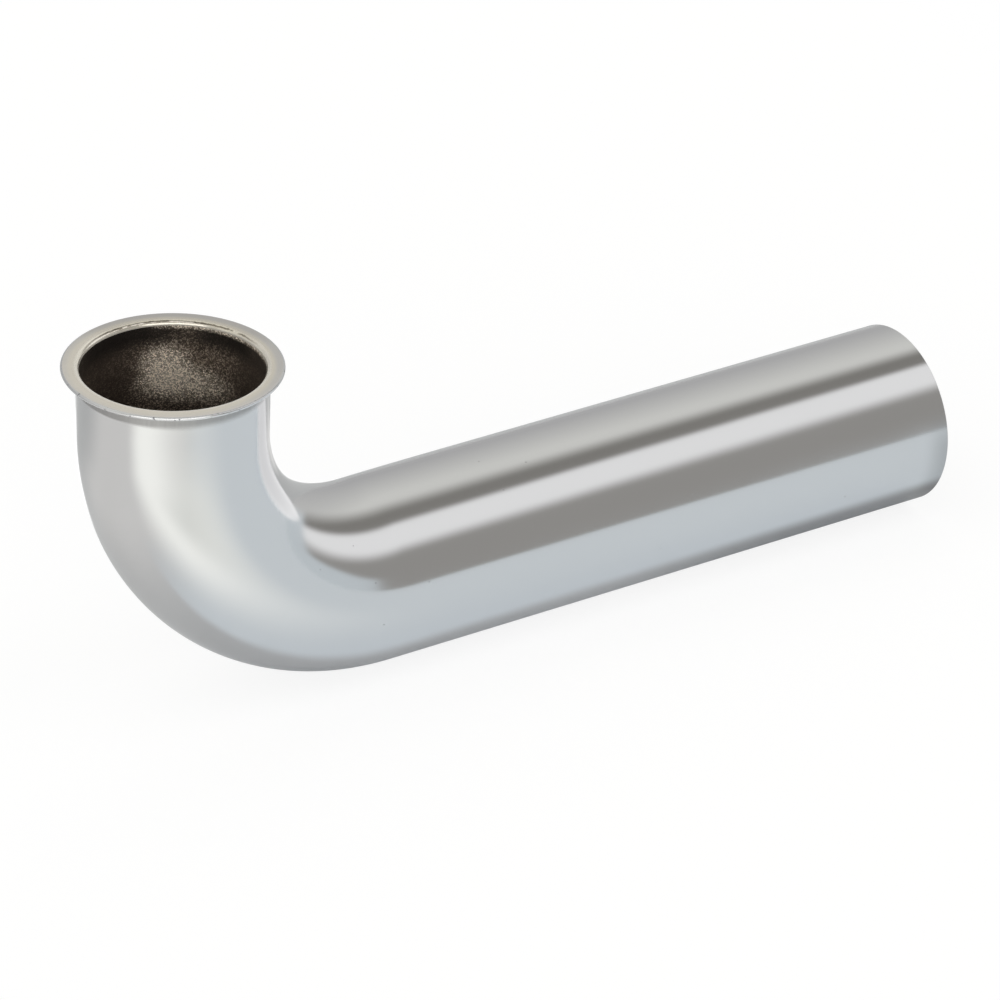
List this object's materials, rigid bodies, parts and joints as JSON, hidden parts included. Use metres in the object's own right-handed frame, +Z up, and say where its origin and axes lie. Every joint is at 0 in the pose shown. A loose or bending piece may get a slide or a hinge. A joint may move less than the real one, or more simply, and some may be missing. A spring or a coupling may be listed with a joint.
{
  "type": "flanged waste arm",
  "caption": "Thin-walled chromed drain tube with a flared flange at its inlet, a right-angle bend and a long plain outlet spigot; carries waste water from a sink outlet.",
  "frame": {"origin": "centre of the inlet on the flange's sealing face", "axes": "+Z up out of the inlet, +X along the arm towards the outlet end, bend in the XZ plane"},
  "size_m": [0.1997, 0.0438, 0.0778],
  "materials": {
    "chrome_plate": "polished chrome plate on brass; satin on the flange face, bare and dark in the bore"
  },
  "bodies": {
    "root": {"waste_arm": "chrome_plate"}
  },
  "joints": []
}
